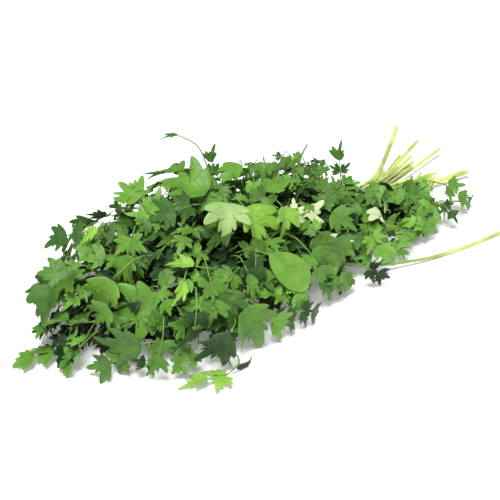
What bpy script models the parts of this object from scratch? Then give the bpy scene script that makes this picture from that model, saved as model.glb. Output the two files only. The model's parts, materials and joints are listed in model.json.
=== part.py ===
"""Coriander bunch lying on its side: stalks gathered at a waist, leaves fanned out in a loose heap.

Frame: +X runs along the bunch towards the cut ends, +Z is up, the origin is the bottom centre of
the bounding box.  Working dimensions are in millimetres and become metres when a mesh is made.
"""
import math

import bpy
import numpy as np
from mathutils.bvhtree import BVHTree

MM = 0.001

# Stalks ------------------------------------------------------------------------------------
WAIST_X = 98.0             # where the stalks run closest together
AXIS_Y = -8.0              # the bunch's axis, to the side of the frame's X axis
LEAF_SPREAD = 3.7          # how much wider than the waist the stalks run among the leaves
LEAF_RISE = 3.4            # the same, upwards
LEAF_RUN = 200.0           # length over which the leafy ends spread
FLOOR_LIFT = 3.0           # height of the lowest stalks above the surface at the waist
STALK_SIDES = 8
STALK_RINGS = 12

# cut end (x, y, z), leafy end X, side step and height step at the waist, radius at the cut end
STALKS = (
    ((132, -38, 1.2), -70, -8.8, 0.0, 1.2),
    ((172, -22, 5.0), -105, -4.5, 0.0, 1.6),
    ((152, -8, 1.3), -40, 0.0, 0.0, 1.3),
    ((180, 12, 6.0), -90, 4.4, 0.0, 1.1),
    ((158, 28, 1.2), -30, 8.7, 0.0, 1.2),
    ((120, -31, 9.0), -60, -6.6, 4.5, 1.3),
    ((146, -17, 11.0), -110, -2.2, 4.5, 1.2),
    ((142, 1, 13.0), -75, 2.2, 4.5, 1.2),
    ((163, 17, 16.0), -95, 6.7, 4.5, 1.1),
    ((116, -23, 19.0), -20, -4.4, 9.0, 1.2),
    ((134, -4, 22.0), -85, 0.1, 9.0, 1.3),
    ((147, 22, 30.0), -55, 4.5, 9.0, 1.4),
)

# a lone stalk that lies on the surface in front of the bunch
LONE_STALK = ((10, -60, 16), (40, -70, 6), (75, -80, 2.0), (105, -84, 1.1), (135, -86, 1.1))
LONE_RADIUS = 1.1

# Leaves ------------------------------------------------------------------------------------
PETIOLE_RADIUS = 0.65
PETIOLE_RINGS = 4
BLADE_HALF_THICKNESS = 0.32
CLEARANCE = 0.15           # growth of a leaf when it is tried for room
ROOT_GAP = 0.45            # between a leaf stalk's root and the stalk it grows from
LEAST_REACH = 18.0         # shortest way from a stalk to a blade
SHARPEST_TURN = 1.6        # one less the cosine of the turn a leaf stalk may make at its root
CORE_START = (-95.0, -18.0, 16.0)
CORE_END = (115.0, -12.0, 10.0)

# outline of a blade: stations along the midrib, half widths, both as parts of its length
TREFOIL = ((0, 0.07, 0.18, 0.30, 0.42, 0.52, 0.64, 0.78, 0.91, 1.0),
           (0.03, 0.14, 0.40, 0.46, 0.24, 0.20, 0.36, 0.32, 0.17, 0.03))
FAN = ((0, 0.09, 0.22, 0.35, 0.47, 0.60, 0.73, 0.88, 1.0),
       (0.03, 0.20, 0.42, 0.36, 0.50, 0.40, 0.44, 0.26, 0.05))
SLIM = ((0, 0.12, 0.30, 0.48, 0.66, 0.84, 1.0),
        (0.04, 0.14, 0.23, 0.21, 0.25, 0.17, 0.03))

# name, form, middle of the blade (x, y, z), heading, slope, roll, length, bend, cup, lies flat
LEAVES = (
    ("ground_left", TREFOIL, (-166, -15, 3), 168, -4, 0, 29, 0.05, 0.15, True),
    ("ground_near", TREFOIL, (-107, -90, 3), 160, -4, 0, 27, 0.05, 0.10, True),
    ("ground_back", TREFOIL, (-118, 40, 3), 150, -4, 0, 30, 0.05, 0.10, True),
    ("small_left", SLIM, (-158, -38, 9), 185, -30, 20, 14, 0.10, 0.20, False),
    ("edge_left", TREFOIL, (-150, -26, 24), 142, 0, 100, 26, 0.10, 0.30, False),
    ("arc_left", TREFOIL, (-140, -12, 32), 215, -35, -30, 33, 0.25, 0.25, False),
    ("far_left", TREFOIL, (-111, 32, 37), 150, -5, -80, 24, 0.15, 0.20, False),
    ("yellow_left", SLIM, (-113, 2, 50), 190, -30, -40, 15, 0.20, 0.20, False),
    ("left_pair", TREFOIL, (-110, -30, 50), 217, -35, 30, 30, 0.20, 0.35, False),
    ("left_fan", FAN, (-130, -33, 38), 172, -40, 0, 22, 0.15, 0.20, False),
    ("left_midrib", FAN, (-124, -50, 31), 165, -8, 0, 33, 0.15, 0.20, False),
    ("left_smooth", FAN, (-135, -53, 20), 130, -5, 0, 27, 0.10, 0.15, False),
    ("tips_down", TREFOIL, (-124, -72, 15), 205, -55, 0, 23, 0.20, 0.20, False),
    ("finger", TREFOIL, (-78, 6, 61), 100, 35, -40, 34, 0.10, 0.25, False),
    ("big_top", FAN, (-54, -8, 66), 115, 5, -40, 32, 0.20, 0.20, False),
    ("dark_top", TREFOIL, (-75, -23, 63), 165, -8, -30, 26, 0.20, 0.20, False),
    ("curl_tip", SLIM, (-30, 38, 72), 165, 10, -60, 11, 0.35, 0.20, False),
    ("upright", TREFOIL, (-12, 20, 58), 60, 55, 60, 20, 0.10, 0.20, False),
    ("grey_fan", FAN, (-57, -47, 61), 232, -20, 0, 26, 0.25, 0.25, False),
    ("bright_fan", FAN, (-40, -52, 54), 240, -30, 0, 27, 0.25, 0.20, False),
    ("near_fan", FAN, (-20, -57, 51), 258, -38, 0, 21, 0.25, 0.20, False),
    ("pale_turned", TREFOIL, (4, -47, 46), 0, -8, 170, 24, 0.20, 0.20, False),
    ("yellow_middle", SLIM, (-104, -66, 43), 212, -35, 0, 17, 0.20, 0.20, False),
    ("narrow_middle", SLIM, (-96, -54, 52), 140, 5, 30, 20, 0.15, 0.25, False),
    ("down_inner", TREFOIL, (-90, -76, 37), 243, -50, 0, 26, 0.20, 0.25, False),
    ("down_outer", TREFOIL, (-106, -80, 28), 212, -58, 0, 25, 0.20, 0.25, False),
    ("triangle", FAN, (-36, -76, 35), 300, -48, 0, 29, 0.10, 0.15, False),
    ("narrow_near", SLIM, (-64, -76, 34), 240, -50, 20, 19, 0.20, 0.25, False),
    ("folded_fan", FAN, (-72, -86, 17), 293, -60, 0, 28, 0.15, 0.35, False),
    ("dull_middle", FAN, (-100, -86, 19), 175, -18, 0, 28, 0.15, 0.15, False),
    ("near_right", TREFOIL, (-14, -76, 28), 290, -55, 0, 22, 0.20, 0.20, False),
    ("round_right", FAN, (12, -68, 19), 300, -55, 0, 22, 0.20, 0.20, False),
    ("low_right", FAN, (-8, -80, 12), 270, -50, 0, 19, 0.15, 0.20, False),
    ("near_low", TREFOIL, (-44, -84, 12), 345, -25, 0, 22, 0.15, 0.20, False),
    ("pale_curl", SLIM, (11, -62, 30), 350, -35, 160, 20, 0.30, 0.30, False),
    ("waist_near", TREFOIL, (70, -54, 15), 345, -35, 0, 21, 0.20, 0.20, False),
    ("feather_a", TREFOIL, (14, -8, 53), 35, 40, 0, 24, 0.15, 0.20, False),
    ("feather_b", TREFOIL, (46, 6, 43), 45, 45, 0, 23, 0.15, 0.20, False),
    ("feather_c", TREFOIL, (42, -16, 46), 25, 35, 0, 24, 0.15, 0.20, False),
    ("spiky", TREFOIL, (72, -2, 40), 55, 60, 0, 22, 0.10, 0.20, False),
    ("far_right", TREFOIL, (128, -52, 14), 312, -38, 0, 25, 0.25, 0.20, False),
    ("back_left", TREFOIL, (-85, 44, 30), 120, -30, 0, 30, 0.20, 0.20, False),
    ("back_middle", FAN, (-48, 48, 28), 110, -40, 0, 28, 0.20, 0.20, False),
    ("back_right", TREFOIL, (-10, 44, 24), 95, -40, 0, 28, 0.20, 0.20, False),
    ("back_waist", TREFOIL, (36, 36, 18), 80, -35, 0, 26, 0.20, 0.20, False),
    ("back_upper", FAN, (-40, 32, 50), 110, -20, 0, 27, 0.20, 0.20, False),
)

LIGHT = ("yellow_left", "left_fan", "finger", "big_top", "bright_fan", "near_fan",
         "narrow_middle", "yellow_middle", "triangle", "ground_near", "round_right", "waist_near")
PALE = ("pale_turned", "pale_curl", "grey_fan")
DARK = ("far_left", "dark_top", "near_low", "down_outer", "dull_middle", "low_right",
        "back_left", "back_middle", "back_right", "ground_back", "small_left")

# linear colour and roughness of each slot
PALETTE = {
    "stalk": ((0.42, 0.53, 0.12, 1.0), 0.42),
    "leaf_mid": ((0.11, 0.27, 0.05, 1.0), 0.50),
    "leaf_light": ((0.22, 0.44, 0.06, 1.0), 0.48),
    "leaf_dark": ((0.06, 0.17, 0.04, 1.0), 0.52),
    "leaf_pale": ((0.42, 0.58, 0.28, 1.0), 0.60),
}


def unit(v):
    """Vector of length one."""
    v = np.asarray(v, float)
    return v / max(np.linalg.norm(v), 1e-9)


def material(name):
    """Principled material of one slot."""
    found = bpy.data.materials.get(name)
    if found:
        return found
    colour, roughness = PALETTE[name]
    made = bpy.data.materials.new(name)
    made.use_nodes = True
    shader = made.node_tree.nodes["Principled BSDF"]
    shader.inputs["Base Color"].default_value = colour
    shader.inputs["Roughness"].default_value = roughness
    shader.inputs["Metallic"].default_value = 0.0
    made.diffuse_color = colour
    return made


def ring_faces(rings, sides):
    """Triangles of a closed skin through rings of points, with a flat cap at each end."""
    faces = []
    for a in range(rings - 1):
        for b in range(sides):
            c = (b + 1) % sides
            low, high = a * sides, (a + 1) * sides
            faces.append((low + b, low + c, high + c))
            faces.append((low + b, high + c, high + b))
    last = (rings - 1) * sides
    for b in range(1, sides - 1):
        faces.append((0, b + 1, b))
        faces.append((last, last + b, last + b + 1))
    return faces


def facing_out(points, faces):
    """The same faces, turned over if the skin's volume comes out negative."""
    p = points[np.array(faces)]
    volume = np.einsum("ij,ij->i", p[:, 0], np.cross(p[:, 1], p[:, 2])).sum()
    if volume < 0:
        return [face[::-1] for face in faces]
    return faces


def add_object(name, slot, points, faces, smooth):
    """Mesh object from points in millimetres."""
    mesh = bpy.data.meshes.new(name)
    faces = facing_out(points, faces)
    mesh.from_pydata((points * MM).tolist(), [], faces)
    mesh.materials.append(material(slot))
    for polygon in mesh.polygons:
        polygon.use_smooth = smooth
    made = bpy.data.objects.new(name, mesh)
    bpy.context.scene.collection.objects.link(made)
    return made


def stalk_line(spec):
    """Centre line and radii of one stalk, from its cut end to its leafy end."""
    cut, leafy, side, height, radius = spec
    waist = np.array((WAIST_X, AXIS_Y + side, radius + FLOOR_LIFT + height))
    line = []
    for x in np.linspace(cut[0], leafy, STALK_RINGS):
        if x > WAIST_X:
            share = ((x - WAIST_X) / (cut[0] - WAIST_X)) ** 1.2
            line.append(waist + (np.array(cut) - waist) * share)
            line[-1][0] = x
            continue
        part = (WAIST_X - x) / LEAF_RUN
        bow = 2.0 * math.sin((x - WAIST_X) / 38.0)
        y = AXIS_Y + side * (1.0 + (LEAF_SPREAD - 1.0) * part) + bow
        lift = FLOOR_LIFT + 5.0 * part + height * (1.0 + (LEAF_RISE - 1.0) * part)
        line.append(np.array((x, y, radius + lift)))
    radii = radius * np.linspace(1.0, 0.55, STALK_RINGS)
    return np.array(line), radii


def tube_points(line, radii):
    """Rings of points round a centre line, one corner of each ring pointing down."""
    rings = []
    turns = np.arange(STALK_SIDES) * 2.0 * math.pi / STALK_SIDES
    for k, centre in enumerate(line):
        ahead = line[min(k + 1, len(line) - 1)] - line[max(k - 1, 0)]
        along = unit(ahead)
        side = unit(np.cross(along, (0, 0, 1)))
        up = np.cross(side, along)
        circle = np.outer(np.sin(turns), side) - np.outer(np.cos(turns), up)
        rings.append(centre + circle * radii[k])
    return np.concatenate(rings)


def lone_line():
    """Centre line of the lone stalk, eased between its points."""
    knots = np.array(LONE_STALK, float)
    steps = np.linspace(0, len(knots) - 1, STALK_RINGS)
    line = np.stack([np.interp(steps, range(len(knots)), knots[:, k]) for k in range(3)], axis=1)
    line[1:-1] = 0.25 * line[:-2] + 0.5 * line[1:-1] + 0.25 * line[2:]
    line[:, 2] = np.maximum(line[:, 2], LONE_RADIUS)
    radii = LONE_RADIUS * (1.0 - 0.3 * np.linspace(1, 0, STALK_RINGS))
    line[:, 2] += radii - LONE_RADIUS
    return line[::-1], radii[::-1]


def outward(point):
    """Direction from the bunch's core to a point."""
    start, end = np.array(CORE_START), np.array(CORE_END)
    run = end - start
    t = np.clip(np.dot(point - start, run) / np.dot(run, run), 0.0, 1.0)
    return unit(point - (start + run * t))


def blade_frame(middle, heading, slope, roll, flat):
    """Direction of the midrib and of the upper face."""
    a, s = math.radians(heading), math.radians(slope)
    along = np.array((math.cos(a) * math.cos(s), math.sin(a) * math.cos(s), math.sin(s)))
    out = np.array((0.0, 0.0, 1.0)) if flat else outward(middle)
    up = unit(out - np.dot(out, along) * along)
    turn = math.radians(roll)
    up = up * math.cos(turn) + np.cross(along, up) * math.sin(turn)
    return along, up


def hexagon(centre, side, up, radius):
    """Six points round a leaf stalk."""
    turns = np.arange(6) * math.pi / 3.0
    return centre + radius * (np.outer(np.cos(turns), side) + np.outer(np.sin(turns), up))


def leaf_points(form, root, root_way, middle, along, up, length, bend, cup):
    """Rings of six points: the leaf stalk from its root to the blade, then the blade."""
    base = middle - along * length * 0.5 + up * bend * length * 0.25
    reach = np.linalg.norm(base - root) * 0.4
    pulls = (root, root + root_way * reach, base - along * reach, base)
    side = np.cross(along, up)
    rings = []
    for k in range(PETIOLE_RINGS):
        t = k / PETIOLE_RINGS
        weights = ((1 - t) ** 3, 3 * t * (1 - t) ** 2, 3 * t * t * (1 - t), t ** 3)
        slopes = (-(1 - t) ** 2, (1 - t) ** 2 - 2 * t * (1 - t), 2 * t * (1 - t) - t * t, t * t)
        centre = sum(w * p for w, p in zip(weights, pulls))
        way = unit(sum(w * p for w, p in zip(slopes, pulls)))
        across = unit(side - np.dot(side, way) * way)
        rings.append(hexagon(centre, across, np.cross(across, way), PETIOLE_RADIUS))
    stations, widths = form
    for t, part in zip(stations, widths):
        half = part * length
        centre = base + along * length * t - up * bend * length * t * t
        tilt = unit(up + 2.0 * bend * t * along)
        sweep = 0.30 * half * (1.0 - t)
        lift = cup * half
        thick = min(BLADE_HALF_THICKNESS, 0.5 * half)
        inner = centre + along * sweep * 0.4
        rim = centre + along * sweep + tilt * lift
        rings.append(np.array((
            rim + side * half,
            inner + side * half * 0.45 + tilt * (thick + lift * 0.25),
            inner - side * half * 0.45 + tilt * (thick + lift * 0.25),
            rim - side * half,
            inner - side * half * 0.45 - tilt * (thick - lift * 0.25),
            inner + side * half * 0.45 - tilt * (thick - lift * 0.25),
        )))
    return np.concatenate(rings)


def grown(points, faces, amount):
    """Points moved outwards along the skin's corner normals."""
    index = np.array(facing_out(points, faces))
    p = points[index]
    normals = np.cross(p[:, 1] - p[:, 0], p[:, 2] - p[:, 0])
    normals /= np.maximum(np.linalg.norm(normals, axis=1, keepdims=True), 1e-9)
    total = np.zeros_like(points)
    for k in range(3):
        np.add.at(total, index[:, k], normals)
    total /= np.maximum(np.linalg.norm(total, axis=1, keepdims=True), 1e-9)
    return points + total * amount


class Room:
    """Solids placed so far, and the test for whether one more has room."""

    def __init__(self):
        self.points = []
        self.faces = []
        self.count = 0
        self.tree = None

    def add(self, points, faces):
        """Take a placed solid in."""
        self.faces += [tuple(self.count + k for k in face) for face in faces]
        self.points.append(points)
        self.count += len(points)
        self.tree = BVHTree.FromPolygons(np.concatenate(self.points).tolist(), self.faces)

    def free(self, points, faces):
        """True if the solid, slightly grown, touches nothing and stays above the surface."""
        if points[:, 2].min() < -1e-6:
            return False
        test = BVHTree.FromPolygons(grown(points, faces, CLEARANCE).tolist(), faces)
        return not test.overlap(self.tree)


def roots(stalks, base, along):
    """Places on the stalks where a leaf stalk could grow from, the likeliest first."""
    found = []
    for line, radii in stalks:
        for t in np.linspace(0.3, 0.98, 26):
            place = t * (len(line) - 1)
            k = min(int(place), len(line) - 2)
            part = place - k
            centre = line[k] * (1 - part) + line[k + 1] * part
            radius = radii[k] * (1 - part) + radii[k + 1] * part
            way = unit(line[k + 1] - line[k])
            gap = base - centre
            off = unit(gap - np.dot(gap, way) * way)
            root = centre + off * (radius + PETIOLE_RADIUS + ROOT_GAP)
            reach = np.linalg.norm(gap)
            turn = 1.0 - np.dot(unit(gap), way)
            if reach > LEAST_REACH and turn < SHARPEST_TURN:
                found.append((reach * (1.0 + 0.8 * turn), tuple(root), tuple(way)))
    found.sort()
    return found[:90]


def nudges():
    """Small changes tried in turn: outward shift, then turns of the heading and the slope."""
    for out in (0, 2, 4, 7, 11):
        for heading in (0, 12, -12, 25, -25):
            for slope in (0, 12, -12):
                yield out, heading, slope


def place_leaf(spec, stalks, room):
    """Leaf skin in the first position that has room for it."""
    name, form, middle, heading, slope, roll, length, bend, cup, flat = spec
    middle = np.array(middle, float)
    faces = ring_faces(PETIOLE_RINGS + len(form[0]), 6)
    for out, more_heading, more_slope in nudges():
        spot = middle + outward(middle) * (0 if flat else out)
        tip = slope if flat else slope + more_slope
        along, up = blade_frame(spot, heading + more_heading, tip, roll, flat)
        base = spot - along * length * 0.5
        for _, root, way in roots(stalks, base, along):
            way = unit(np.array(way) + 0.25 * unit(base - np.array(root)))
            shape = (form, np.array(root), way)
            points = leaf_points(*shape, spot, along, up, length, bend, cup)
            if flat:
                lower = spot - np.array((0, 0, points[:, 2].min()))
                points = leaf_points(*shape, lower, along, up, length, bend, cup)
                points[:, 2] = np.maximum(points[:, 2], 0.0)
            if room.free(points, faces):
                return points, faces
    return None


def shade(name):
    """Slot of a leaf, by how light the leaf is."""
    if name in LIGHT:
        return "leaf_light"
    if name in PALE:
        return "leaf_pale"
    return "leaf_dark" if name in DARK else "leaf_mid"


def build():
    """All stalks, then all leaves, then the whole set at the frame's origin."""
    room = Room()
    stalks = []
    made = []
    sides = ring_faces(STALK_RINGS, STALK_SIDES)
    for number, spec in enumerate(STALKS, start=1):
        line, radii = stalk_line(spec)
        stalks.append((line, radii))
        points = tube_points(line, radii)
        room.add(points, sides)
        made.append(("stalk_%02d" % number, "stalk", points, sides))
    points = tube_points(*lone_line())
    room.add(points, sides)
    made.append(("stalk_lone", "stalk", points, sides))
    for spec in LEAVES:
        found = place_leaf(spec, stalks, room)
        if found is None:
            print("no room for", spec[0])
            continue
        points, faces = found
        room.add(points, faces)
        made.append(("leaf_" + spec[0], shade(spec[0]), points, faces))
    every = np.concatenate([entry[2] for entry in made])
    low, high = every.min(axis=0), every.max(axis=0)
    shift = np.array(((low[0] + high[0]) / 2, (low[1] + high[1]) / 2, low[2]))
    print("box", (high - low).round(1), "shift", shift.round(2))
    for name, slot, points, faces in made:
        add_object(name, slot, points - shift, faces, True)


for old in list(bpy.data.objects):
    bpy.data.objects.remove(old)
build()
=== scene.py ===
# %% [markdown]
# # A bunch of fresh coriander
#
# The frame holds plain solids: one thin plate with its own stalk for each leaf, and a plain rod for
# each stalk.  This lesson dresses them.  It reads where each plate lies and how it bends, grows a
# lobed and toothed leaf along it, and covers each rod with a ridged stalk.
# Then it fills the inside of the heap, mixes the greens, and sets a floor, soft light and a camera.

# %% Load the frame
import json
import math
from dataclasses import dataclass

import bpy
import numpy as np
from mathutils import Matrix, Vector
from mathutils.bvhtree import BVHTree


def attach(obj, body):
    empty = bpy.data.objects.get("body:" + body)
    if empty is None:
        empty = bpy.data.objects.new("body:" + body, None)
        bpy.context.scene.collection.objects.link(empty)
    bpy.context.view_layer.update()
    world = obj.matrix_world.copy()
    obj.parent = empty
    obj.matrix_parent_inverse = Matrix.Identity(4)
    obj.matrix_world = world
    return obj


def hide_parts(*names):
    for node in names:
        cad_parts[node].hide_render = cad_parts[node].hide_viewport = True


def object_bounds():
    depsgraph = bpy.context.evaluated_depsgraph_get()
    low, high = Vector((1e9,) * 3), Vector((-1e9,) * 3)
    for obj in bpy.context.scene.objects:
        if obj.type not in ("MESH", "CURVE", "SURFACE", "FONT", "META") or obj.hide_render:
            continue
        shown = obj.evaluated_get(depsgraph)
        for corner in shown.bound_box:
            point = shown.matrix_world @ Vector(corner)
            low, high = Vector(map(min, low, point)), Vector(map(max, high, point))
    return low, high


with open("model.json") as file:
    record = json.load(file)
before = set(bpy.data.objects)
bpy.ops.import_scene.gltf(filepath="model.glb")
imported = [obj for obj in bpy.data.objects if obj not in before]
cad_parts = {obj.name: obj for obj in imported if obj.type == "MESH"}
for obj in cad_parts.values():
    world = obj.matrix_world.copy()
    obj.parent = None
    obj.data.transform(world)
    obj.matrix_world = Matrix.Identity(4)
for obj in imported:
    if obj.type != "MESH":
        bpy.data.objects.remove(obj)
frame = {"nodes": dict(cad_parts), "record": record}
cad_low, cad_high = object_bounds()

MM = 0.001
cad_size = (np.array(cad_high) - np.array(cad_low)) / MM
print("frame nodes:", len(frame["nodes"]), " size in mm:", cad_size.round(1))

# %% [markdown]
# ## Reading the plates and rods
#
# Every solid of the frame is a skin through rings of points: six to a ring on a leaf, eight on a
# stalk.  Starting from the ring at the root and stepping along the mesh from neighbour to
# neighbour gives the rings in order, and with them the solid's centre line, width and tilt.

# %% Walk along a solid, ring by ring
LEAF_STALK_RINGS = 4       # rings of a leaf's own stalk, before its blade begins
LEAF_CORNERS = 6           # corners of each ring on a leaf
STALK_CORNERS = 8          # and on a stalk


def unit(v):
    """A vector (or rows of vectors) scaled to length one."""
    v = np.asarray(v, float)
    return v / np.maximum(np.linalg.norm(v, axis=-1, keepdims=True), 1e-9)


def welded(node):
    """A node's corner points in millimetres, each kept once, and its triangles."""
    mesh = node.data
    points = np.empty(len(mesh.vertices) * 3, np.float32)
    mesh.vertices.foreach_get("co", points)
    mesh.calc_loop_triangles()
    triangles = np.empty(len(mesh.loop_triangles) * 3, np.int32)
    mesh.loop_triangles.foreach_get("vertices", triangles)
    kept, where = np.unique(points.reshape(-1, 3), axis=0, return_inverse=True)
    return kept.astype(float) / MM, where.reshape(-1)[triangles].reshape(-1, 3)


def walk(touching, first):
    """Groups of corners met in turn: each one is the new neighbours of the group before."""
    seen = first.copy()
    groups = [first]
    while groups[-1].any():
        groups.append(touching[groups[-1]].any(axis=0) & ~seen)
        seen |= groups[-1]
    return groups[:-1]


def rings_between(points, triangles, end, corners):
    """A solid's rings in order, starting at the given end: walk away from the few corners
    nearest to that end, then walk all the way back from the last ring."""
    count = len(points)
    touching = np.zeros((count, count), bool)
    for a, b in ((0, 1), (1, 2), (2, 0)):
        touching[triangles[:, a], triangles[:, b]] = True
        touching[triangles[:, b], triangles[:, a]] = True
    first = np.zeros(count, bool)
    first[np.argsort(np.linalg.norm(points - end, axis=1))[:corners]] = True
    far = walk(touching, first)[-1]
    return [points[group] for group in walk(touching, far)[::-1]]


@dataclass
class Plate:
    """Where one leaf lies: its stalk's line, its blade's directions, size and bend."""

    name: str
    line: np.ndarray       # leaf stalk, root to blade
    base: np.ndarray       # where the blade begins
    along: np.ndarray      # from the blade's base to its tip
    side: np.ndarray
    up: np.ndarray         # out of the upper face
    length: float
    bend: tuple            # height above the base-to-tip line: bend[0] x + bend[1] x squared
    cup: float             # how fast the rims rise
    form: str


FORMS = {10: "trefoil", 9: "fan", 7: "slim"}


def read_plate(name, node):
    """Measure a leaf's solid: its rings, then a frame and a parabola through its blade."""
    points, triangles = welded(node)
    corners = points[triangles]
    area = np.linalg.norm(np.cross(corners[:, 1] - corners[:, 0], corners[:, 2] - corners[:, 0]), axis=1)
    middle = (corners.mean(axis=1) * area[:, None]).sum(axis=0) / area.sum()
    root = points[np.linalg.norm(points - middle, axis=1).argmax()]
    rings = rings_between(points, triangles, root, LEAF_CORNERS)
    blade = rings[LEAF_STALK_RINGS:]
    rims = []
    inners = []
    for ring in blade:
        apart = np.linalg.norm(ring[:, None] - ring[None], axis=2)
        a, b = np.unravel_index(apart.argmax(), apart.shape)
        rims.append(ring[[a, b]])
        inners.append(ring[[k for k in range(len(ring)) if k not in (a, b)]].mean(axis=0))
    rims, inners = np.array(rims), np.array(inners)
    spans = rims[:, 1] - rims[:, 0]
    spans *= np.sign(spans @ spans[np.linalg.norm(spans, axis=1).argmax()])[:, None]
    side = unit(spans.sum(axis=0))
    base, tip = inners[0], inners[-1]
    along = unit((tip - base) - side * ((tip - base) @ side))
    up = np.cross(side, along)
    lift = ((rims.mean(axis=1) - inners) @ up).sum()
    if lift < 0:
        up, side = -up, -side
        lift = -lift
    x, height = (inners - base) @ along, (inners - base) @ up
    bend = np.linalg.lstsq(np.stack([x, x * x], axis=1), height, rcond=None)[0]
    cup = lift / 0.75 / (np.linalg.norm(spans, axis=1).sum() / 2)
    line = np.array([ring.mean(axis=0) for ring in rings[:LEAF_STALK_RINGS]] + [base])
    return Plate(name, line, base, along, side, up, x[-1], tuple(bend), cup, FORMS[len(blade)])


def read_rod(node):
    """Centre line and radii of a stalk's solid, from its cut end to its leafy end."""
    points, triangles = welded(node)
    cut = points[points[:, 0].argmax()]
    rings = rings_between(points, triangles, cut, STALK_CORNERS)
    line = np.array([ring.mean(axis=0) for ring in rings])
    radii = np.array([np.linalg.norm(ring - ring.mean(axis=0), axis=1).max() for ring in rings])
    return line, radii


plates = [read_plate(n, o) for n, o in sorted(frame["nodes"].items()) if n.startswith("leaf_")]
rods = {n: read_rod(o) for n, o in sorted(frame["nodes"].items()) if n.startswith("stalk_")}
print("plates:", len(plates), " rods:", len(rods))
print("blade lengths, mm:", round(min(p.length for p in plates)), "to", round(max(p.length for p in plates)))

# %% [markdown]
# ## Meshes from arrays
#
# A `Build` gathers the parts of one piece: points, faces, and three numbers for each point that
# the materials read.  `under` is one on a leaf's lower face, `stem` is one on a stalk, and `tone`
# is how light a leaflet is; for leaves deep in the heap or low under it, a low tone is painted shade.
# `fan` holds the direction and distance from the leaflet's base, which the veins follow.

# %% Gather parts into one piece
SURFACE = 0.02      # lowest height of any part, mm
EASY = 4.0          # heights under this are drawn together where a part would dip lower, mm


def above_surface(points):
    """Points with those under the easy height drawn towards it, so that none dips below."""
    lowest = points[:, 2].min()
    if lowest >= SURFACE:
        return points
    share = (EASY - SURFACE) / (EASY - lowest)
    height = np.where(points[:, 2] < EASY, EASY - (EASY - points[:, 2]) * share, points[:, 2])
    return np.column_stack([points[:, :2], height])


class Build:
    """Parts of one piece, added in turn."""

    def __init__(self):
        self.points, self.quads, self.triangles = [], [], []
        self.facts = []
        self.count = 0

    def add(self, points, quads, triangles, under, stem, tone, fan):
        """Take in a part; under, stem and tone may be single numbers."""
        n = len(points)
        self.points.append(above_surface(points))
        self.quads.append(np.asarray(quads, int).reshape(-1, 4) + self.count)
        self.triangles.append(np.asarray(triangles, int).reshape(-1, 3) + self.count)
        columns = [np.broadcast_to(value, n) for value in (under, stem, tone)]
        self.facts.append(np.column_stack(columns + [fan]))
        self.count += n

    def piece(self, name, material, replaces=()):
        """Make the mesh object, at the frame's origin, riding on the bunch."""
        points = np.concatenate(self.points) * MM
        quads, triangles = np.concatenate(self.quads), np.concatenate(self.triangles)
        facts = np.concatenate(self.facts)
        mesh = bpy.data.meshes.new(name)
        mesh.from_pydata(points.tolist(), [], quads.tolist() + triangles.tolist())
        for k, fact in enumerate(("under", "stem", "tone")):
            layer = mesh.attributes.new(fact, "FLOAT", "POINT")
            layer.data.foreach_set("value", facts[:, k].astype(np.float32))
        corner = np.empty(len(mesh.loops), np.int32)
        mesh.loops.foreach_get("vertex_index", corner)
        fan = mesh.uv_layers.new(name="fan")
        fan.data.foreach_set("uv", facts[corner, 3:5].astype(np.float32).ravel())
        mesh.polygons.foreach_set("use_smooth", np.ones(len(mesh.polygons), bool))
        mesh.materials.append(material)
        made = bpy.data.objects.new(name, mesh)
        bpy.context.scene.collection.objects.link(made)
        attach(made, "root")
        if replaces:
            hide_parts(*replaces)
        return made


def curve_through(knots, count):
    """Evenly counted points on the smooth curve through the knots: each span is a cubic whose
    slope at a knot is half the step between that knot's neighbours."""
    knots = np.asarray(knots, float)
    ends = np.concatenate([2 * knots[:1] - knots[1:2], knots, 2 * knots[-1:] - knots[-2:-1]])
    t = np.linspace(0, len(knots) - 1, count)
    k = np.minimum(t.astype(int), len(knots) - 2)
    u = (t - k)[:, None]
    a, b, c, d = ends[k], ends[k + 1], ends[k + 2], ends[k + 3]
    return 0.5 * (2 * b + (c - a) * u + (2 * a - 5 * b + 4 * c - d) * u * u
                  + (3 * b - 3 * c + d - a) * u ** 3)


def tube(line, radii, sides=8, ridges=0.0, tilt=0.0):
    """Closed round skin about a line: each ring is a circle square to the line, its radius
    rising and falling by the share `ridges` five times round, with a fan of triangles at each
    end.  Tilt slants the first ring, as a knife does."""
    way = unit(np.gradient(line, axis=0))
    first = np.array((0.0, 0.0, 1.0)) if abs(way[0, 2]) < 0.8 else np.array((0.0, 1.0, 0.0))
    side = unit(np.cross(way, first))
    up = np.cross(side, way)
    turn = np.arange(sides) * 2 * math.pi / sides
    reach = radii[:, None] * (1 + ridges * np.cos(5 * turn))
    points = (line[:, None] + reach[..., None]
              * (np.cos(turn)[None, :, None] * side[:, None] + np.sin(turn)[None, :, None] * up[:, None]))
    points[0] += way[0] * (tilt * radii[0] * np.sin(turn))[:, None]
    ring = np.arange(sides)
    after = (ring + 1) % sides
    start = (np.arange(len(line) - 1) * sides)[:, None]
    quads = np.stack([start + ring, start + after, start + sides + after, start + sides + ring], axis=-1)
    last = (len(line) - 1) * sides
    low, high = len(line) * sides, len(line) * sides + 1
    triangles = np.concatenate([
        np.stack([np.full(sides, low), after, ring], axis=1),
        np.stack([np.full(sides, high), last + ring, last + after], axis=1),
    ])
    flat = np.concatenate([points.reshape(-1, 3), line[:1], line[-1:]])
    far = np.linspace(0, 1, len(line))
    fan = np.stack([np.tile(turn / (2 * math.pi), len(line)), np.repeat(far, sides)], axis=1)
    fan = np.concatenate([fan, [[0.5, 0.0], [0.5, 1.0]]])
    return flat, quads.reshape(-1, 4), triangles, fan


# %% [markdown]
# ## One leaflet
#
# The outline is a distance r from the leaflet's base for each direction.  It is widest ahead,
# closes towards the base, is cut in by two deep notches that part three lobes, and is scalloped
# into rounded teeth.  The blade is a thin shell: rings drawn in from the outline to a middle
# point, once above and once below, sharing the rim.

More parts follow.
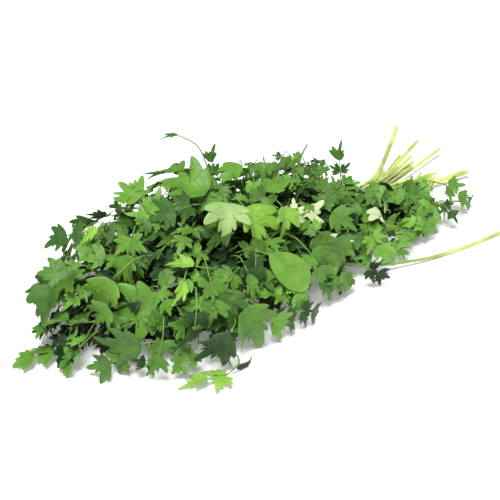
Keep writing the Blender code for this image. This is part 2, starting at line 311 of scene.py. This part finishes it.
# %% Outline and shell of a leaflet
@dataclass
class Style:
    """How a leaflet is cut: how far round it opens, its notches and its teeth."""

    opens: float           # degrees from straight ahead to where the outline closes
    notch: float           # depth of the notches between lobes, as a part of the length
    gap: float             # width of the notches, radians
    tooth: float           # depth of the teeth
    teeth: float           # teeth in a half turn
    point: float = 0.45    # how fast the outline narrows to a pointed tip


BROAD = Style(80, 0.56, 0.14, 0.34, 8)
FINGERED = Style(74, 0.58, 0.14, 0.38, 7)
FEATHERY = Style(64, 0.56, 0.16, 0.34, 7)
YOUNG = Style(82, 0.42, 0.12, 0.22, 8)
SMOOTH = Style(84, 0.05, 0.20, 0.05, 7, 2.3)
HALF_THICK = 0.13                  # mm
FRACTIONS = np.array((0.28, 0.52, 0.72, 0.87, 0.965))


def outline(turn, style, twist):
    """Distance from base to rim for each direction: a cosine that nears nothing where the outline
    closes, raised to a power, times two V-shaped notches, times scallops whose dips are sharp and
    whose tips are round."""
    opens = math.radians(style.opens)
    broad = np.cos(turn / opens * math.pi / 2 * 0.985) ** style.point
    off = np.abs(np.abs(turn - twist) - opens * 0.31)
    notched = 1 - style.notch * np.exp(-off / style.gap)
    scallop = 1 - style.tooth * (1 - np.abs(np.cos(style.teeth * (turn - twist))) ** 0.8)
    return broad * notched * scallop


def leaflet(length, width, style, rng, around=72):
    """A leaflet lying along +X from the origin: its points, faces, which face each point is on,
    and its directions and distances from the base.  Heights add a fold along the midrib, a
    droop growing with the distance squared, a twist, waves that grow towards the rim, and
    pleats along the teeth."""
    opens = math.radians(style.opens)
    turn = np.linspace(-opens, opens, around)
    far = outline(turn, style, rng.uniform(-0.10, 0.10)) * length
    far = far * (1 + 0.07 * np.sin(2.3 * turn + rng.uniform(0, 6)))
    rim = np.stack([far * np.cos(turn), far * np.sin(turn) * width], axis=1)
    middle = np.array((0.36 * length, 0.0))
    inner = middle + FRACTIONS[:, None, None] * (rim - middle)
    flat = np.concatenate([middle[None], inner.reshape(-1, 2)])
    flat = np.concatenate([flat, rim, flat])
    x, y = flat.T / length
    r = np.hypot(x, y)
    a = np.arctan2(y / width, x)
    phase = rng.uniform(0, 2 * math.pi, 3)
    fold, droop, wave = rng.uniform(0.06, 0.42), rng.uniform(0.04, 0.40), rng.uniform(0.04, 0.11)
    height = length * (fold * np.abs(y) - droop * r ** 2.2 + rng.uniform(-0.35, 0.35) * x * y
                       + wave * r ** 2 * (np.sin(3.1 * a + phase[0]) + 0.6 * np.sin(6.3 * a + phase[1]))
                       + 0.014 * r * np.cos(style.teeth * 2 * a))
    half = len(inner) * around + 1
    lower = half + around
    shell = np.zeros(len(flat))
    shell[:half] = HALF_THICK
    shell[lower:] = -HALF_THICK
    points = np.column_stack([flat, height + shell])
    ring = np.arange(around)
    after = (ring + 1) % around
    quads = []
    for k in range(len(FRACTIONS)):
        near, out = 1 + k * around, 1 + (k + 1) * around
        quads.append(np.stack([near + ring, out + ring, out + after, near + after], axis=1))
        near = lower + near
        out = half if k == len(FRACTIONS) - 1 else lower + out
        quads.append(np.stack([near + ring, near + after, out + after, out + ring], axis=1))
    triangles = np.concatenate([
        np.stack([np.zeros(around, int), 1 + ring, 1 + after], axis=1),
        np.stack([np.full(around, lower), lower + 1 + after, lower + 1 + ring], axis=1),
    ])
    under = np.zeros(len(flat))
    under[half:lower] = 0.5
    under[lower:] = 1.0
    fan = np.stack([a * style.teeth / math.pi / 10 + 0.5, r], axis=1)
    return points, np.concatenate(quads), triangles, under, fan


# %% [markdown]
# ## A whole leaf
#
# A trefoil leaf has three leaflets, and a fan or a slim leaf has one.  Each leaflet is turned and
# tilted, those away from the base have a short stalk, and the set is then laid along its plate:
# x along the plate, y to its side, and the height taken from the plate's parabola and cup.

# %% Leaf forms and how they are laid on a plate
# base along the blade, direction in degrees, length, width, all but the direction as parts of the blade
LAYOUTS = {
    "trefoil": ((0.40, 0, 0.62, 0.95), (0.10, 54, 0.50, 0.85), (0.10, -54, 0.50, 0.85)),
    "fan": ((0.0, 0, 1.0, 0.86),),
    "slim": ((0.0, 0, 1.0, 0.42),),
}


def turned(points, heading, pitch, roll):
    """Points rolled about X, then pitched about Y, then headed about Z, in degrees."""
    h, p, r = np.radians((heading, pitch, roll))
    roll_by = np.array(((1, 0, 0), (0, math.cos(r), -math.sin(r)), (0, math.sin(r), math.cos(r))))
    pitch_by = np.array(((math.cos(p), 0, math.sin(p)), (0, 1, 0), (-math.sin(p), 0, math.cos(p))))
    head_by = np.array(((math.cos(h), -math.sin(h), 0), (math.sin(h), math.cos(h), 0), (0, 0, 1)))
    return points @ (head_by @ pitch_by @ roll_by).T


def lay_on(plate, local):
    """Move points from a flat blade's own directions onto the plate, bending as it bends."""
    x, y, z = local.T
    rise = plate.bend[0] * x + plate.bend[1] * x * x + 0.8 * plate.cup * np.abs(y)
    return (plate.base + x[:, None] * plate.along + y[:, None] * plate.side
            + (z + rise)[:, None] * plate.up)


def add_leaf(build, plate, style, tone, rng, around=72, stalk_radius=0.46):
    """Grow one leaf along a plate: leaflets, their short stalks, and the leaf's own stalk."""
    for start, heading, part, width in LAYOUTS[plate.form]:
        size = plate.length * part * rng.uniform(0.88, 1.10)
        heading = heading + rng.uniform(-9, 9)
        points, quads, triangles, under, fan = leaflet(size, width, style, rng, around)
        tilt = (heading, rng.uniform(-16, 12), rng.uniform(-22, 22))
        root = np.array((start * plate.length, 0.0, -0.5 if abs(heading) > 20 else 0.3))
        shade = tone + rng.uniform(-0.16, 0.16)
        build.add(lay_on(plate, turned(points, *tilt) + root), quads, triangles, under, 0.0, shade, fan)
        if start:
            end = root + turned(np.array((0.30 * size, 0, -0.2)), *tilt)
            neck = np.concatenate([np.linspace(np.zeros(3), root, 4), np.linspace(root, end, 4)[1:]])
            skin, quads, triangles, fan = tube(lay_on(plate, neck), np.linspace(0.46, 0.14, 7), sides=6)
            build.add(skin, quads, triangles, 0.0, 0.8, tone, fan)
    line = curve_through(np.concatenate([nearest_core(plate.line[0])[None], plate.line]), 18)
    thick = np.linspace(stalk_radius * 1.25, stalk_radius * 0.8, 18)
    skin, quads, triangles, fan = tube(line, thick, sides=7)
    build.add(skin, quads, triangles, 0.0, 1.0, tone, fan)


def nearest_core(point):
    """Point on the stalks' centre lines nearest to a given one."""
    return core_lines[np.linalg.norm(core_lines - point, axis=1).argmin()]


core_lines = np.concatenate([curve_through(rods[n][0], 60) for n in rods if n != "stalk_lone"])


# %% [markdown]
# ## Materials
#
# Each is one Principled shader whose colour is worked out from the numbers on the mesh.

# %% Mix the greens
def srgb(*values):
    """Linear colour from the 0 to 255 numbers of a paint chart."""
    v = np.array(values, float) / 255
    linear = np.where(v <= 0.04045, v / 12.92, ((v + 0.055) / 1.055) ** 2.4)
    return (*linear.tolist(), 1.0)


class Nodes:
    """Short calls for adding and joining shader nodes."""

    def __init__(self, name):
        self.material = bpy.data.materials.new(name)
        self.material.use_nodes = True
        self.tree = self.material.node_tree
        self.shader = self.tree.nodes["Principled BSDF"]

    def put(self, target, value):
        """Join a socket to another, or set it to a value."""
        if isinstance(value, bpy.types.NodeSocket):
            self.tree.links.new(value, target)
        else:
            target.default_value = value

    def math(self, operation, a, b=0.0):
        """One sum."""
        node = self.tree.nodes.new("ShaderNodeMath")
        node.operation = operation
        self.put(node.inputs[0], a)
        self.put(node.inputs[1], b)
        return node.outputs[0]

    def mix(self, share, a, b):
        """Colour between a and b."""
        node = self.tree.nodes.new("ShaderNodeMix")
        node.data_type = "RGBA"
        self.put(node.inputs[0], share)
        self.put(node.inputs[6], a)
        self.put(node.inputs[7], b)
        return node.outputs[2]

    def ramp(self, value, low, high, to_low=0.0, to_high=1.0):
        """Value carried smoothly from one range to another and held at its ends."""
        node = self.tree.nodes.new("ShaderNodeMapRange")
        node.interpolation_type = "SMOOTHSTEP"
        for k, number in enumerate((value, low, high, to_low, to_high)):
            self.put(node.inputs[k], number)
        return node.outputs[0]

    def fact(self, name):
        """A number stored on the mesh."""
        node = self.tree.nodes.new("ShaderNodeAttribute")
        node.attribute_name = name
        return node.outputs["Fac"]

    def fan(self):
        """Direction and distance from a leaflet's base."""
        node = self.tree.nodes.new("ShaderNodeUVMap")
        node.uv_map = "fan"
        parts = self.tree.nodes.new("ShaderNodeSeparateXYZ")
        self.tree.links.new(node.outputs[0], parts.inputs[0])
        return parts.outputs[0], parts.outputs[1]

    def noise(self, scale, detail=3.0):
        """Soft mottling that is fixed to the piece."""
        where = self.tree.nodes.new("ShaderNodeTexCoord")
        node = self.tree.nodes.new("ShaderNodeTexNoise")
        node.inputs["Scale"].default_value = scale
        node.inputs["Detail"].default_value = detail
        self.tree.links.new(where.outputs["Object"], node.inputs["Vector"])
        return node.outputs[0]

    def bump(self, height, depth, strength):
        """Relief of a given depth in metres."""
        node = self.tree.nodes.new("ShaderNodeBump")
        node.inputs["Distance"].default_value = depth
        node.inputs["Strength"].default_value = strength
        self.tree.links.new(height, node.inputs["Height"])
        self.tree.links.new(node.outputs[0], self.shader.inputs["Normal"])


def leaf_material(name, deep, fresh, lower, stem):
    """Green that runs from deep to fresh with tone and mottling, paler below and on the veins."""
    n = Nodes(name)
    turn, far = n.fan()
    tone = n.math("ADD", n.fact("tone"), n.math("MULTIPLY", n.math("SUBTRACT", n.noise(140), 0.5), 0.7))
    colour = n.mix(n.ramp(tone, -0.5, 1.5), deep, fresh)
    swing = n.math("MULTIPLY", n.math("SUBTRACT", turn, 0.5), 10 * math.pi)
    off = n.math("ABSOLUTE", n.math("SINE", swing))
    wide = n.math("DIVIDE", 0.10, n.math("ADD", far, 0.15))
    vein = n.math("SUBTRACT", 1.0, n.ramp(off, 0.0, wide))
    vein = n.math("MULTIPLY", vein, n.ramp(far, 1.0, 0.3))
    colour = n.mix(n.math("MULTIPLY", vein, 0.22), colour, stem)
    colour = n.mix(n.ramp(far, 0.75, 1.05, 0.0, 0.25), colour, fresh)
    colour = n.mix(n.math("MULTIPLY", n.fact("under"), 0.75), colour, lower)
    colour = n.mix(n.fact("stem"), colour, stem)
    n.put(n.shader.inputs["Base Color"], colour)
    n.put(n.shader.inputs["Roughness"], n.ramp(n.noise(300), 0.2, 0.8, 0.42, 0.60))
    n.shader.inputs["Specular IOR Level"].default_value = 0.35
    n.shader.inputs["Subsurface Weight"].default_value = 0.15
    n.shader.inputs["Subsurface Radius"].default_value = (0.5, 1.0, 0.2)
    n.shader.inputs["Subsurface Scale"].default_value = 0.0015
    n.bump(n.math("SUBTRACT", n.noise(500, 2.0), n.math("MULTIPLY", vein, 0.8)), 0.0004, 0.5)
    return n.material


def stalk_material():
    """Yellow-green, finely ridged along its length, paler at the cut end."""
    n = Nodes("stalk")
    turn, far = n.fan()
    colour = n.mix(n.ramp(n.noise(60), 0.3, 0.7), STEM_DEEP, STEM_FRESH)
    colour = n.mix(n.ramp(far, 0.3, 0.7, 0.0, 0.7), colour, srgb(92, 134, 48))
    colour = n.mix(n.ramp(far, 0.02, 0.0), colour, srgb(226, 232, 180))
    n.put(n.shader.inputs["Base Color"], colour)
    n.shader.inputs["Roughness"].default_value = 0.38
    n.shader.inputs["Specular IOR Level"].default_value = 0.45
    n.shader.inputs["Subsurface Weight"].default_value = 0.2
    n.shader.inputs["Subsurface Radius"].default_value = (0.8, 1.0, 0.3)
    n.shader.inputs["Subsurface Scale"].default_value = 0.002
    swing = n.math("SINE", n.math("MULTIPLY", turn, 2 * math.pi * 11))
    n.bump(swing, 0.0002, 0.5)
    return n.material


STEM_DEEP = srgb(156, 184, 78)
STEM_FRESH = srgb(222, 234, 136)
LEAF_STEM = srgb(112, 150, 70)
GREENS = {
    # slot: deep, fresh, lower face
    "leaf_mid": (srgb(18, 50, 12), srgb(118, 174, 62), srgb(136, 172, 96)),
    "leaf_light": (srgb(54, 108, 28), srgb(152, 202, 76), srgb(162, 194, 110)),
    # leaf_dark: its near-black deep green is painted shade, for leaves inside the heap and low down under
    # it.
    "leaf_dark": (srgb(8, 22, 6), srgb(80, 134, 48), srgb(84, 120, 60)),
    "leaf_pale": (srgb(112, 150, 82), srgb(164, 196, 118), srgb(206, 222, 170)),
}
materials = {slot: leaf_material(slot, *greens, LEAF_STEM) for slot, greens in GREENS.items()}
materials["stalk"] = stalk_material()
print("materials:", ", ".join(materials))

# %% [markdown]
# ## The leaves of the frame
#
# One piece stands for each plate.  Most leaves are broad, those over the waist are feathery, and
# a few are young or fingered.  One has an almost smooth edge.

# %% Grow the outer leaves
STYLES = {
    "finger": FINGERED, "upright": FINGERED, "feather_a": FEATHERY, "feather_b": FEATHERY,
    "feather_c": FEATHERY, "spiky": FEATHERY, "far_right": FINGERED, "waist_near": FINGERED,
    "triangle": SMOOTH, "arc_left": YOUNG, "left_fan": YOUNG, "ground_left": YOUNG, "edge_left": YOUNG,
}
BRIGHTER = {"bright_fan": 0.2, "triangle": -0.5, "big_top": -0.2, "yellow_left": 0.6, "yellow_middle": 0.7,
            "ground_near": 0.5}
rng = np.random.default_rng(11)
slots = {row["node"]: row["material_slot"] for row in frame["record"]["subparts"]}
for plate in plates:
    short = plate.name.removeprefix("leaf_")
    build = Build()
    tone = rng.uniform(0.2, 0.7) + BRIGHTER.get(short, 0.0)
    add_leaf(build, plate, STYLES.get(short, BROAD), tone, rng)
    build.piece("blade_" + short, materials[slots[plate.name]], (plate.name,))
print("outer leaves:", len(plates))

# %% [markdown]
# ## Filling the heap
#
# The heap's cross-section is half an ellipse whose width and height change along the bunch.
# Small leaves are laid just under its surface and deeper inside, each facing roughly outwards.
# A leaf is kept only where its coarse outline meets no more than one crossing with those already
# there.  The deeper a leaf lies, the darker it is painted: painted shade for the inside of the heap.

# %% Shape of the heap, and room for one more leaf
HEAP_X = (-158, -140, -105, -60, -10, 40, 80, 115)
HEAP_HALF_WIDTH = (18, 40, 68, 71, 67, 57, 50, 36)
HEAP_HEIGHT = (16, 33, 52, 61, 57, 47, 37, 22)
HEAP_MIDDLE_Y = (3, 3, 3, 8, 8, 11, 9, 4)


def heap_place(x, around, depth):
    """Point and outward direction at a station, an angle round the section (zero on the near
    side, 90 on top) and a depth (one at the surface)."""
    half = np.interp(x, HEAP_X, HEAP_HALF_WIDTH)
    tall = np.interp(x, HEAP_X, HEAP_HEIGHT)
    middle = np.interp(x, HEAP_X, HEAP_MIDDLE_Y)
    a = math.radians(around)
    point = np.array((x, middle - half * depth * math.cos(a), tall * depth * math.sin(a)))
    lean = -0.5 * max(0.0, (-90.0 - x) / 50.0)
    return point, unit(np.array((lean, -math.cos(a) / half * tall, math.sin(a))))


def heap_plate(x, around, depth, size, form, rng):
    """A plate facing outwards, give or take, its tip leaning to the leafy end or down."""
    spot, out = heap_place(x, around, depth)
    up = unit(out + rng.normal(0, 0.38, 3) + np.array((0, 0, 0.25)))
    along = np.array((-1.0, 0, -0.25)) + rng.normal(0, 0.75, 3)
    along = unit(along - up * (along @ up))
    side = np.cross(along, up)
    base = spot - along * size / 2
    root = nearest_core(base + np.array((14.0, 0, 0)))
    line = curve_through([root, (root + base) / 2 + rng.normal(0, 1.5, 3), base - along * 0.15 * size], 4)
    line = np.concatenate([line, [base]])
    bend = (0.08, -rng.uniform(0.1, 0.35) / size)
    return Plate("", line, base, along, side, up, size, bend, rng.uniform(0.0, 0.25), form)


def coarse(plate, grow=1.0):
    """Few-sided outlines of a plate's leaflets, to test for room."""
    points, faces = [], []
    turn = np.radians(np.array((-80, -45, 0, 45, 80)))
    for start, heading, part, width in LAYOUTS[plate.form]:
        size = plate.length * part * 0.85 * grow
        rim = np.stack([np.cos(turn), np.sin(turn) * width, 0 * turn], axis=1) * size
        flat = turned(np.concatenate([np.zeros((1, 3)), rim]), heading, 0, 0)
        first = sum(len(p) for p in points)
        points.append(lay_on(plate, flat + np.array((start * plate.length, 0, 0))))
        faces += [(first, first + k, first + k + 1) for k in range(1, 5)]
    return np.concatenate(points), faces


class Room:
    """Outlines laid so far, and whether one more crosses any."""

    def __init__(self):
        self.points, self.faces, self.count = [], [], 0
        self.tree = None

    def add(self, points, faces):
        """Take an outline in."""
        self.faces += [tuple(self.count + k for k in face) for face in faces]
        self.points.append(points)
        self.count += len(points)
        self.tree = BVHTree.FromPolygons(np.concatenate(self.points).tolist(), self.faces)

    def crossings(self, points, faces):
        """How many faces cross."""
        return len(BVHTree.FromPolygons(points.tolist(), faces).overlap(self.tree))


room = Room()
for plate in plates:
    room.add(*coarse(plate))
print("outlines laid:", len(plates))

# %% [markdown]
# ## Leaves in plain view
#
# Some leaves show clearly between the plates.  Each is placed one by one: its middle, its heading
# and slope, and a roll about its own length.

# %% Place the leaves in plain view
# Leaves low down or tipped downwards take the leaf_dark slot and low tones: painted shade.
# middle (x, y, z), heading, slope, roll, length, form, style, tone, slot
IN_VIEW = (
    ((-106, 14, 54), 110, -10, -40, 21, "trefoil", BROAD, 0.3, "leaf_mid"),
    ((-56, -48, 42), 230, -40, 10, 18, "trefoil", BROAD, 0.1, "leaf_dark"),
    ((-26, -62, 9), 355, -25, 0, 20, "trefoil", BROAD, 0.2, "leaf_dark"),
    ((-80, -57, 32), 250, -50, 20, 21, "fan", BROAD, 0.2, "leaf_mid"),
    ((-48, -62, 12), 340, -20, 0, 16, "fan", BROAD, 0.8, "leaf_mid"),
    ((-142, -28, 9), 145, -12, 10, 24, "trefoil", BROAD, 0.3, "leaf_mid"),
    ((60, -36, 9), 350, -45, 0, 17, "trefoil", FINGERED, 0.1, "leaf_dark"),
    ((70, -21, 26), 235, -30, 0, 15, "slim", YOUNG, 0.6, "leaf_pale"),
    ((50, -6, 42), 10, 20, 0, 19, "trefoil", FEATHERY, 0.4, "leaf_mid"),
    ((48, -33, 17), 275, -50, 20, 17, "fan", BROAD, 0.5, "leaf_light"),
    ((104, -30, 9), 235, -40, 20, 17, "trefoil", FINGERED, 0.3, "leaf_mid"),
    ((142, -28, 5), 20, -10, 0, 9, "fan", YOUNG, 0.0, "leaf_dark"),
    ((-80, -70, 3), 350, -6, 0, 15, "slim", YOUNG, 0.0, "leaf_dark"),
    ((-46, 2, 64), 200, -5, -20, 20, "trefoil", YOUNG, 0.5, "leaf_mid"),
    ((-22, -12, 60), 100, 15, -40, 20, "trefoil", YOUNG, 0.4, "leaf_mid"),
    ((28, -12, 46), 60, 30, -20, 20, "trefoil", YOUNG, 0.5, "leaf_mid"),
    ((24, -34, 36), 300, -30, 10, 20, "fan", BROAD, 0.4, "leaf_mid"),
    ((-2, -46, 34), 290, -45, 20, 20, "fan", BROAD, 0.2, "leaf_mid"),
    ((56, -36, 28), 250, -20, 160, 18, "fan", BROAD, 0.5, "leaf_pale"),
    ((88, -40, 14), 300, -35, 0, 20, "trefoil", BROAD, 0.6, "leaf_mid"),
    ((36, -52, 22), 280, -45, 0, 21, "trefoil", BROAD, 0.5, "leaf_light"),
    ((30, -58, 10), 330, -30, 0, 18, "trefoil", BROAD, -0.2, "leaf_dark"),
    ((92, -22, 24), 320, 0, 0, 17, "trefoil", FINGERED, 0.4, "leaf_mid"),
    ((112, -38, 12), 280, -30, 0, 16, "trefoil", FINGERED, 0.1, "leaf_dark"),
)


def placed_plate(middle, heading, slope, roll, length, form):
    """A plate at a given place, facing outwards before its roll."""
    middle = np.array(middle, float)
    h, p = math.radians(heading), math.radians(slope)
    along = np.array((math.cos(h) * math.cos(p), math.sin(h) * math.cos(p), math.sin(p)))
    x = np.clip(middle[0], -90, 110)
    out = unit(middle - np.array((x, np.interp(x, HEAP_X, HEAP_MIDDLE_Y), 12.0)))
    up = unit(out - along * (along @ out))
    turn = math.radians(roll)
    up = up * math.cos(turn) + np.cross(along, up) * math.sin(turn)
    base = middle - along * length / 2
    root = nearest_core(base + np.array((14.0, 0, 0)))
    line = np.array([root, (root + base) / 2 + (0, 0, 2.0), base - along * 0.15 * length, base])
    return Plate("", line, base, along, np.cross(along, up), up, length, (0.08, -0.2 / length), 0.15, form)


for number, (*place, style, tone, slot) in enumerate(IN_VIEW, start=1):
    plate = placed_plate(*place)
    build = Build()
    add_leaf(build, plate, style, tone, rng)
    room.add(*coarse(plate))
    build.piece("leaf_in_view_%02d" % number, materials[slot], ())
print("leaves in plain view:", len(IN_VIEW))

# %% Fill the heap
LAYERS = (
    # pieces, leaves each, depth range, tone range (lower for deeper layers: painted shade), slot, points
    # round a leaflet
    (4, 46, (0.92, 1.03), (0.1, 0.9), "leaf_mid", 48),
    (4, 46, (0.76, 0.94), (-0.7, 0.3), "leaf_mid", 40),
    (6, 50, (0.42, 0.78), (-1.0, -0.2), "leaf_dark", 32),
    (4, 44, (0.12, 0.45), (-1.4, -0.8), "leaf_dark", 24),
)
FEATHER_FROM = 0.0         # beyond this station the filling leaves are smaller and younger, mm
BARE_FROM = 52.0           # beyond this station the upper side is left to the bare stalks, mm
FILLED_TO = 108.0          # station where the filling ends, mm
NEAR_SIDE = (4, 62)        # angles round the section, degrees
ALL_ROUND = (4, 174)
LEAST_HEIGHT = 0.6         # of a filling leaf above the surface, mm
FILLING_STALK = 0.34       # radius of a filling leaf's own stalk, mm


def lowest(plate):
    """Lowest height that a plate's blade or stalk reaches."""
    points, _ = coarse(plate, 1.15)
    return min(points[:, 2].min(), plate.line[:, 2].min())


def try_leaf(depth, rng):
    """The best of a few tries at a leaf with room around it, or None."""
    best = None
    for _ in range(14):
        x = rng.uniform(HEAP_X[0], FILLED_TO)
        feathery = x > FEATHER_FROM
        size = rng.uniform(12, 20) if feathery else rng.uniform(14, 25)
        form = "trefoil" if rng.uniform() < 0.7 else "fan"
        around = rng.uniform(*(NEAR_SIDE if x > BARE_FROM else ALL_ROUND))
        plate = heap_plate(x, around, depth, size, form, rng)
        if lowest(plate) < LEAST_HEIGHT:
            continue
        crossed = room.crossings(*coarse(plate))
        if best is None or crossed < best[0]:
            best = (crossed, plate, feathery)
        if crossed == 0:
            break
    return best if best and best[0] <= 1 else None


placed = 0
for layer, (pieces, each, depths, depth_shade_tones, slot, around) in enumerate(LAYERS, start=1):
    for number in range(1, pieces + 1):
        build = Build()
        for _ in range(each):
            found = try_leaf(rng.uniform(*depths), rng)
            if found is None:
                continue
            _, plate, feathery = found
            style = (FEATHERY if feathery else BROAD, YOUNG, FINGERED)[rng.integers(3)]
            # Deeper layers take lower tones and the leaf_dark slot: painted shade.
            add_leaf(build, plate, style, rng.uniform(*depth_shade_tones), rng, around, stalk_radius=FILLING_STALK)
            room.add(*coarse(plate))
            placed += 1
        build.piece("filling_%d_%d" % (layer, number), materials[slot], ())
print("filling leaves:", placed)

# %% [markdown]
# ## Stalks
#
# Each rod is covered by a finely ridged stalk, cut aslant at its end.  A few short side stalks,
# cut off when the bunch was trimmed, stand out near the cut ends.

# %% Dress the rods
for name, (line, radii) in rods.items():
    build = Build()
    fine = curve_through(line, 90)
    thick = np.interp(np.linspace(0, 1, 90), np.linspace(0, 1, len(radii)), radii)
    thick = thick * (1 + 0.05 * np.sin(np.linspace(0, 19, 90) + len(build.points)))
    skin, quads, triangles, fan = tube(fine, thick, sides=16, ridges=0.03, tilt=0.4)
    build.add(skin, quads, triangles, 0.0, 1.0, 0.5, fan)
    build.piece(name.replace("stalk_", "stem_"), materials["stalk"], (name,))
print("stalks:", len(rods))

# %% Short side stalks, cut off
# stalk, place along it from the cut end, length, lean to the side, lean upwards
STUBS = (
    ("stalk_01", 0.16, 24, 0.5, 0.5), ("stalk_02", 0.22, 30, -0.4, 0.5), ("stalk_03", 0.12, 20, 0.6, 0.2),
    ("stalk_05", 0.25, 32, 0.4, 0.3), ("stalk_06", 0.18, 26, -0.6, 0.4), ("stalk_07", 0.28, 34, 0.3, 0.6),
    ("stalk_08", 0.14, 22, -0.5, 0.3), ("stalk_10", 0.24, 30, 0.5, 0.3), ("stalk_11", 0.20, 26, -0.3, 0.5),
)
build = Build()
for name, place, length, sideways, upward in STUBS:
    fine = curve_through(rods[name][0], 90)
    start = fine[int(place * 89)]
    way = unit(fine[int(place * 89) - 5] - start)
    lean = unit(way + np.array((0.0, sideways, upward)))
    bent = [start, start + (way + lean) * length * 0.24, start + (way + 2 * lean) * length * 0.33]
    line = curve_through(bent, 16)
    skin, quads, triangles, fan = tube(line, np.linspace(0.75, 0.95, 16)[::-1], sides=10, ridges=0.03)
    build.add(skin, quads, triangles, 0.0, 1.0, 0.5, fan * (1, 0.2) + (0, 0.05))
build.piece("stem_stubs", materials["stalk"], ())
print("short side stalks:", len(STUBS))

# %% [markdown]
# ## Floor, light and camera
#
# The floor is pale and gives off a little light of its own, so that the shadows on it stay soft.
# A large lamp high over the near, leafy end gives the main light, and a weak one fills in from
# the side of the cut ends.

# %% Set the stage
FLOOR_HALF = 3.0           # metres
FLOOR_DROP = 0.0002        # below the lowest leaf, metres
bpy.ops.mesh.primitive_plane_add(size=2 * FLOOR_HALF, location=(0, 0, -FLOOR_DROP))
floor = bpy.context.object
floor.name = "floor"
paint = Nodes("floor_paint")
paint.shader.inputs["Base Color"].default_value = (0.93, 0.93, 0.93, 1.0)
paint.shader.inputs["Roughness"].default_value = 0.9
paint.shader.inputs["Specular IOR Level"].default_value = 0.1
paint.shader.inputs["Emission Color"].default_value = (1.0, 1.0, 1.0, 1.0)
paint.shader.inputs["Emission Strength"].default_value = 0.18
floor.data.materials.append(paint.material)

world = bpy.data.worlds.new("studio")
bpy.context.scene.world = world
world.use_nodes = True
world.node_tree.nodes["Background"].inputs["Color"].default_value = (1.0, 1.0, 1.0, 1.0)
world.node_tree.nodes["Background"].inputs["Strength"].default_value = 0.28


def soft_light(name, place, size, power):
    """Square lamp aimed at the middle of the bunch."""
    lamp = bpy.data.lights.new(name, "AREA")
    lamp.size = size
    lamp.energy = power
    made = bpy.data.objects.new(name, lamp)
    made.location = place
    aim = -np.array(place)
    made.rotation_mode = "QUATERNION"
    made.rotation_quaternion = Vector(aim).to_track_quat("-Z", "Y")
    bpy.context.scene.collection.objects.link(made)


soft_light("key", (-1.1, -0.85, 2.9), 1.2, 132.0)
soft_light("fill", (0.9, -0.6, 0.8), 0.9, 1.5)

CAMERA_AZIMUTH = -40.0
CAMERA_ELEVATION = 31.0
CAMERA_DISTANCE = 0.85     # metres
LENS = 100.0               # millimetres, as is the sensor
SENSOR = 36.0
AIM = (0.0, 0.0234, 0.0)


def place_camera():
    """Camera looking at the aim point from the viewing angle."""
    a, e = math.radians(CAMERA_AZIMUTH), math.radians(CAMERA_ELEVATION)
    back = Vector((math.sin(a) * math.cos(e), -math.cos(a) * math.cos(e), math.sin(e)))
    lens = bpy.data.cameras.new("camera")
    lens.lens = LENS
    lens.sensor_width = SENSOR
    made = bpy.data.objects.new("camera", lens)
    made.location = Vector(AIM) + back * CAMERA_DISTANCE
    made.rotation_mode = "QUATERNION"
    made.rotation_quaternion = (-back).to_track_quat("-Z", "Y")
    bpy.context.scene.collection.objects.link(made)
    bpy.context.scene.camera = made


place_camera()
bpy.context.scene.view_settings.view_transform = "Standard"
bpy.context.scene.view_settings.look = "None"
print("camera distance:", CAMERA_DISTANCE)
